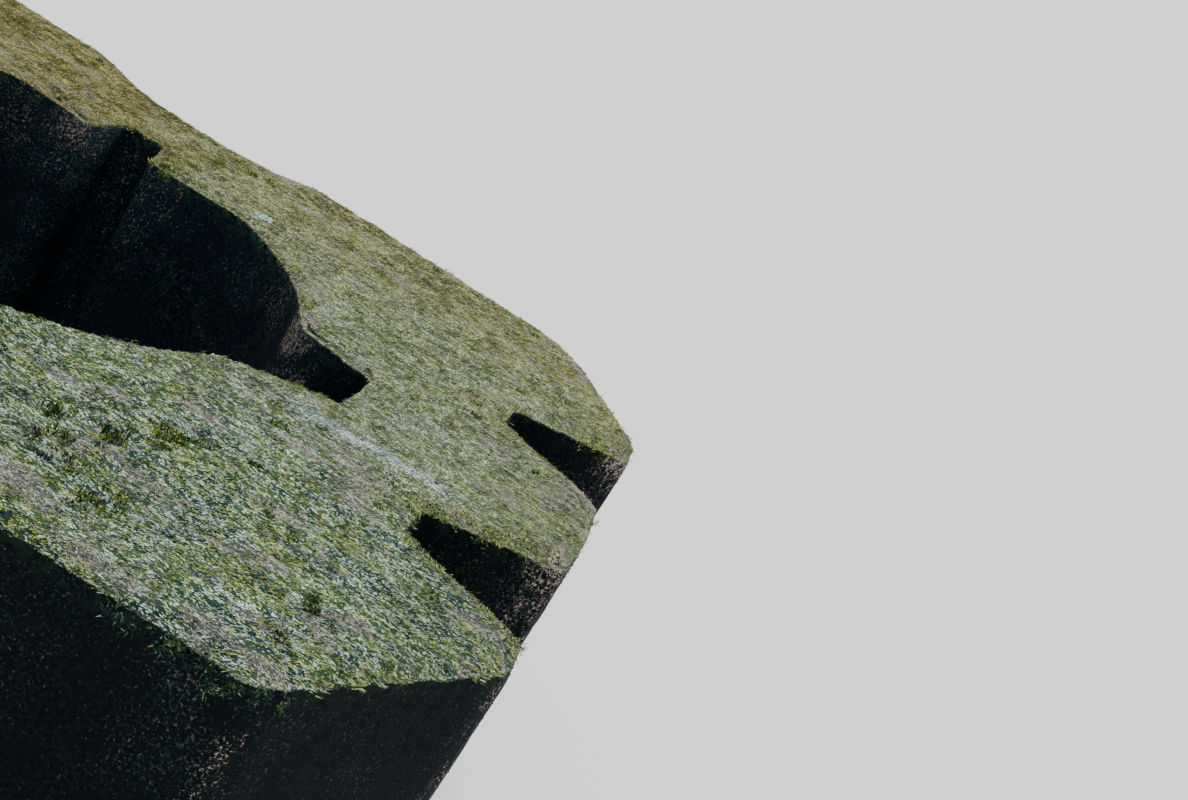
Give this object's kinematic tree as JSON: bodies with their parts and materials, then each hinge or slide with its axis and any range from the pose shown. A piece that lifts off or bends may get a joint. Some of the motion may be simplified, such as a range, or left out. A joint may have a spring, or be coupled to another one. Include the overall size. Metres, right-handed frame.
{
  "type": "interlocking concrete armour unit",
  "caption": "Deep flat-topped concrete unit for a sloping sea wall, with a grooved central well, a keyway, waisted sides and a toothed toe end.",
  "frame": {"origin": "centre of the underside's bounding rectangle, on the level floor that the unit lies on", "axes": "+X towards the toothed toe end, down the slope in use; +Y along the wall; +Z out of the slope, through the depth"},
  "size_m": [2.5, 2.04, 0.8],
  "materials": {
    "concrete": "cast concrete, weathered, green algae over the upper face and dark wet sides"
  },
  "bodies": {
    "root": {"armour_unit": "concrete"}
  },
  "joints": []
}
